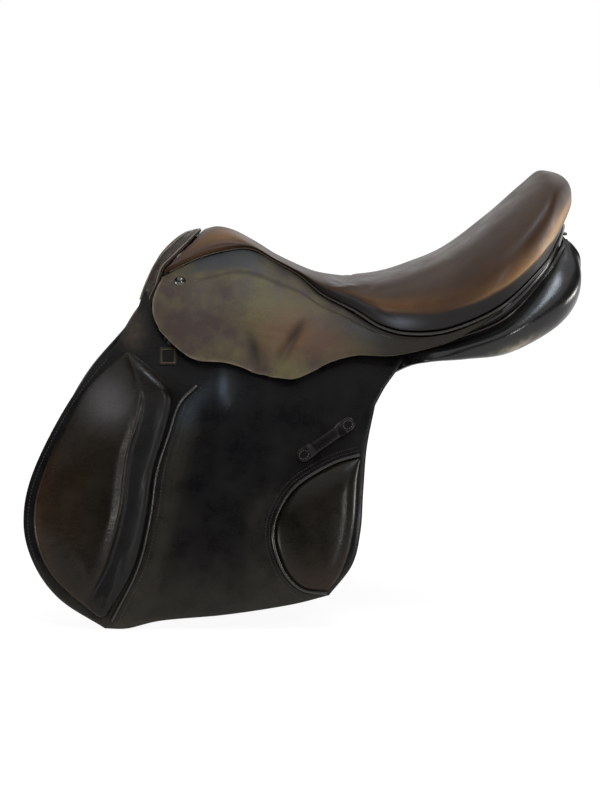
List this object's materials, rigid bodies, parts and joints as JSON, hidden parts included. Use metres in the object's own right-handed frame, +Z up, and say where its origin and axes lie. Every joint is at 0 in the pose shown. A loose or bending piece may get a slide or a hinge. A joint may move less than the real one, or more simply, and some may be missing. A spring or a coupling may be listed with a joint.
{
  "type": "jumping saddle",
  "caption": "Forward-cut leather riding saddle with a dished seat, lifting skirts and padded flaps, stirrup bars with tipping catches, girth straps and stuffed panels.",
  "frame": {"origin": "on the centre plane, in the mouth of the channel between the panels, where the horse's back carries the saddle", "axes": "+X to the rear, towards the cantle; +Y to the off side, so the near side shown in the picture is -Y; +Z up"},
  "size_m": [0.5887, 0.4142, 0.4725],
  "materials": {
    "seat_leather": "smooth, worn, half gloss",
    "pad_leather": "grained, half gloss",
    "flap_leather": "smooth, half gloss",
    "skirt_leather": "smooth, half gloss",
    "panel_leather": "grained, soft",
    "strap_leather": "smooth, waxed",
    "lining": "soft",
    "foam": "open foam",
    "webbing": "woven",
    "tree_wood": "laminated",
    "tree_steel": "plain",
    "bright_steel": "polished"
  },
  "bodies": {
    "tree": {"seat_cover": "seat_leather", "seat_welt": "seat_leather", "left_flap_head": "flap_leather", "right_flap_head": "flap_leather", "left_skirt_top": "skirt_leather", "right_skirt_top": "skirt_leather", "left_panel": "panel_leather", "right_panel": "panel_leather", "panel_piping": "panel_leather", "left_sweat_flap": "panel_leather", "right_sweat_flap": "panel_leather", "point_pockets": "panel_leather", "pommel_cover": "panel_leather", "cantle_strip": "panel_leather", "channel_lining": "lining", "seat_foam": "foam", "seat_webbing": "webbing", "girth_webs": "webbing", "tree_head": "tree_wood", "tree_rails": "tree_wood", "tree_cantle": "tree_wood", "gullet_plate": "tree_steel", "spring_strips": "tree_steel", "bar_rivets": "tree_steel", "left_stirrup_bar": "bright_steel", "right_stirrup_bar": "bright_steel", "catch_pins": "bright_steel", "dee_staples": "bright_steel", "skirt_nails": "bright_steel", "rear_staple": "bright_steel"},
    "left_flap": {"left_flap": "flap_leather", "left_knee_pad": "pad_leather", "left_knee_welt": "flap_leather", "left_thigh_pad": "pad_leather", "left_thigh_welt": "flap_leather", "left_keeper": "flap_leather"},
    "left_skirt": {"left_skirt": "skirt_leather"},
    "left_catch": {"left_bar_catch": "bright_steel"},
    "left_dee": {"left_dee": "bright_steel"},
    "left_front_strap": {"left_front_girth_strap": "strap_leather"},
    "left_middle_strap": {"left_middle_girth_strap": "strap_leather"},
    "left_rear_strap": {"left_rear_girth_strap": "strap_leather"},
    "left_guard": {"left_buckle_guard": "strap_leather"},
    "right_flap": {"right_flap": "flap_leather", "right_knee_pad": "pad_leather", "right_knee_welt": "flap_leather", "right_thigh_pad": "pad_leather", "right_thigh_welt": "flap_leather", "right_keeper": "flap_leather"},
    "right_skirt": {"right_skirt": "skirt_leather"},
    "right_catch": {"right_bar_catch": "bright_steel"},
    "right_dee": {"right_dee": "bright_steel"},
    "right_front_strap": {"right_front_girth_strap": "strap_leather"},
    "right_middle_strap": {"right_middle_girth_strap": "strap_leather"},
    "right_rear_strap": {"right_rear_girth_strap": "strap_leather"},
    "right_guard": {"right_buckle_guard": "strap_leather"}
  },
  "joints": [
    {"name": "left_flap_lift", "type": "hinge", "parent": "tree", "child": "left_flap", "pos_m": [-0.252, -0.1023, 0.017], "axis": [-0.969, 0.1041, 0.2239], "range_deg": [0, 85]},
    {"name": "left_skirt_lift", "type": "hinge", "parent": "tree", "child": "left_skirt", "pos_m": [-0.214, -0.092, 0.061], "axis": [-0.9704, 0.1174, 0.2113], "range_deg": [0, 70]},
    {"name": "left_catch_tip", "type": "hinge", "parent": "tree", "child": "left_catch", "pos_m": [-0.125, -0.10305, 0.02406], "axis": [0, -0.8951, 0.4458], "range_deg": [0, 85]},
    {"name": "left_dee_swing", "type": "hinge", "parent": "tree", "child": "left_dee", "pos_m": [-0.186, -0.0709, 0.06], "axis": [-1, 0, 0], "range_deg": [0, 40]},
    {"name": "left_middle_strap_swing", "type": "hinge", "parent": "tree", "child": "left_middle_strap", "pos_m": [-0.06, -0.10059, -0.00566], "axis": [0, -0.9332, 0.3593], "range_deg": [-8, 8]},
    {"name": "left_front_strap_swing", "type": "hinge", "parent": "tree", "child": "left_front_strap", "pos_m": [-0.098, -0.10059, -0.00566], "axis": [0, -0.9332, 0.3593], "range_deg": [-8, 8]},
    {"name": "left_rear_strap_swing", "type": "hinge", "parent": "tree", "child": "left_rear_strap", "pos_m": [-0.022, -0.10059, -0.00566], "axis": [0, -0.9332, 0.3593], "range_deg": [-8, 8]},
    {"name": "left_guard_slide", "type": "slide", "parent": "left_middle_strap", "child": "left_guard", "axis": [0, -0.3593, -0.9332], "range_m": [0, 0.09]},
    {"name": "right_flap_lift", "type": "hinge", "parent": "tree", "child": "right_flap", "pos_m": [-0.252, 0.1023, 0.017], "axis": [0.969, 0.1041, -0.2239], "range_deg": [0, 85]},
    {"name": "right_skirt_lift", "type": "hinge", "parent": "tree", "child": "right_skirt", "pos_m": [-0.214, 0.092, 0.061], "axis": [0.9704, 0.1174, -0.2113], "range_deg": [0, 70]},
    {"name": "right_catch_tip", "type": "hinge", "parent": "tree", "child": "right_catch", "pos_m": [-0.125, 0.10305, 0.02406], "axis": [0, -0.8951, -0.4458], "range_deg": [0, 85]},
    {"name": "right_dee_swing", "type": "hinge", "parent": "tree", "child": "right_dee", "pos_m": [-0.186, 0.0709, 0.06], "axis": [1, 0, 0], "range_deg": [0, 40]},
    {"name": "right_middle_strap_swing", "type": "hinge", "parent": "tree", "child": "right_middle_strap", "pos_m": [-0.06, 0.10059, -0.00566], "axis": [0, 0.9332, 0.3593], "range_deg": [-8, 8]},
    {"name": "right_front_strap_swing", "type": "hinge", "parent": "tree", "child": "right_front_strap", "pos_m": [-0.098, 0.10059, -0.00566], "axis": [0, 0.9332, 0.3593], "range_deg": [-8, 8]},
    {"name": "right_rear_strap_swing", "type": "hinge", "parent": "tree", "child": "right_rear_strap", "pos_m": [-0.022, 0.10059, -0.00566], "axis": [0, 0.9332, 0.3593], "range_deg": [-8, 8]},
    {"name": "right_guard_slide", "type": "slide", "parent": "right_middle_strap", "child": "right_guard", "axis": [0, 0.3593, -0.9332], "range_m": [0, 0.09]}
  ],
  "couplings": [
    {"joint": "left_front_strap_swing", "follows": "left_middle_strap_swing", "ratio": 1},
    {"joint": "left_rear_strap_swing", "follows": "left_middle_strap_swing", "ratio": 1},
    {"joint": "right_front_strap_swing", "follows": "right_middle_strap_swing", "ratio": 1},
    {"joint": "right_rear_strap_swing", "follows": "right_middle_strap_swing", "ratio": 1}
  ]
}
